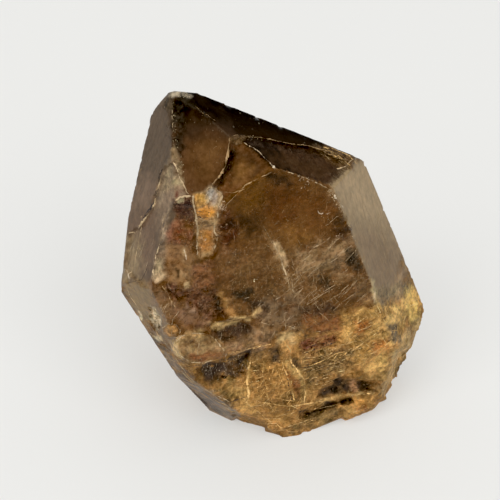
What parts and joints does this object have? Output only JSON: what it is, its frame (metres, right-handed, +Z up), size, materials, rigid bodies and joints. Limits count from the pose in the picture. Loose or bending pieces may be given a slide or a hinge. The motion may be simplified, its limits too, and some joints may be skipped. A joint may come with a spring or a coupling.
{
  "type": "smoky citrine crystal point",
  "caption": "Natural quartz point, amber to smoky brown, with satin faces, a stepped shoulder and a rough iron-stained broken base that it stands on.",
  "frame": {"origin": "centre of the crystal's footprint, on the surface it stands on", "axes": "+Z up, +X to the right and -Y towards the viewer of the large main face; the point leans to -X"},
  "size_m": [0.0494, 0.0348, 0.0656],
  "materials": {
    "citrine": "gloss to satin, rough and iron-stained at the base"
  },
  "bodies": {
    "root": {"citrine_point": "citrine"}
  },
  "joints": []
}
